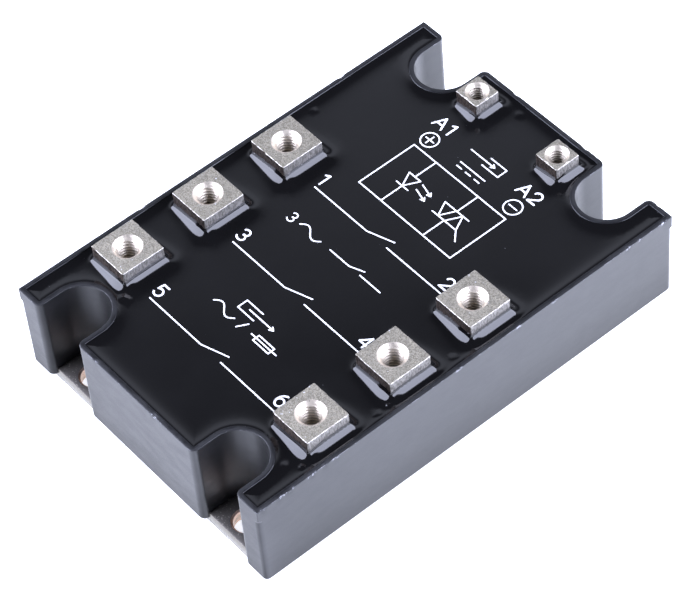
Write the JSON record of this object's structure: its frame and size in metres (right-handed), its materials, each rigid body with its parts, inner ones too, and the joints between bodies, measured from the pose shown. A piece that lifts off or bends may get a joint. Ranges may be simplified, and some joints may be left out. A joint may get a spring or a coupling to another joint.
{
  "type": "solid state relay",
  "caption": "Panel-mount polyphase solid state relay: black potted case with notched corners, square metal screw terminals and an aluminium base plate.",
  "frame": {"origin": "centre of the base plate's mounting face, which is also the bottom centre of the bounding box", "axes": "+Z out of the resin side, away from the heatsink; +Y along the case towards the input terminals; +X across the case towards the load terminals"},
  "size_m": [0.074, 0.1052, 0.0269],
  "materials": {
    "plate": "satin milled aluminium",
    "case": "matte black moulded plastic",
    "resin": "glossy black epoxy",
    "nickel": "satin nickel plate",
    "copper": "satin copper",
    "tin": "satin tinned copper",
    "ceramic": "matte alumina",
    "silicon": "satin silicon",
    "board": "satin green glass epoxy",
    "moulded": "matte black moulding",
    "film": "satin yellow plastic",
    "lacquer": "satin blue-grey lacquer"
  },
  "bodies": {
    "root": {"base_plate": "plate", "case_frame": "case", "potting_resin": "resin", "line_terminal_1": "nickel", "line_terminal_3": "nickel", "line_terminal_5": "nickel", "load_terminal_2": "nickel", "load_terminal_4": "nickel", "load_terminal_6": "nickel", "input_terminal_a1": "nickel", "input_terminal_a2": "nickel", "ceramic_substrate_1": "ceramic", "optocoupler_1": "moulded", "snubber_capacitor_1": "film", "snubber_resistor_1": "lacquer", "line_pad_1": "copper", "line_thyristor_1": "silicon", "line_cathode_clip_1": "copper", "line_strap_1": "copper", "line_gate_wire_1": "tin", "load_pad_1": "copper", "load_thyristor_1": "silicon", "load_cathode_clip_1": "copper", "load_strap_1": "copper", "load_gate_wire_1": "tin", "ceramic_substrate_2": "ceramic", "optocoupler_2": "moulded", "snubber_capacitor_2": "film", "snubber_resistor_2": "lacquer", "line_pad_2": "copper", "line_thyristor_2": "silicon", "line_cathode_clip_2": "copper", "line_strap_2": "copper", "line_gate_wire_2": "tin", "load_pad_2": "copper", "load_thyristor_2": "silicon", "load_cathode_clip_2": "copper", "load_strap_2": "copper", "load_gate_wire_2": "tin", "ceramic_substrate_3": "ceramic", "optocoupler_3": "moulded", "snubber_capacitor_3": "film", "snubber_resistor_3": "lacquer", "line_pad_3": "copper", "line_thyristor_3": "silicon", "line_cathode_clip_3": "copper", "line_strap_3": "copper", "line_gate_wire_3": "tin", "load_pad_3": "copper", "load_thyristor_3": "silicon", "load_cathode_clip_3": "copper", "load_strap_3": "copper", "load_gate_wire_3": "tin", "control_board": "board", "current_regulator": "moulded", "input_resistor": "lacquer", "polarity_diode": "moulded"}
  },
  "joints": []
}
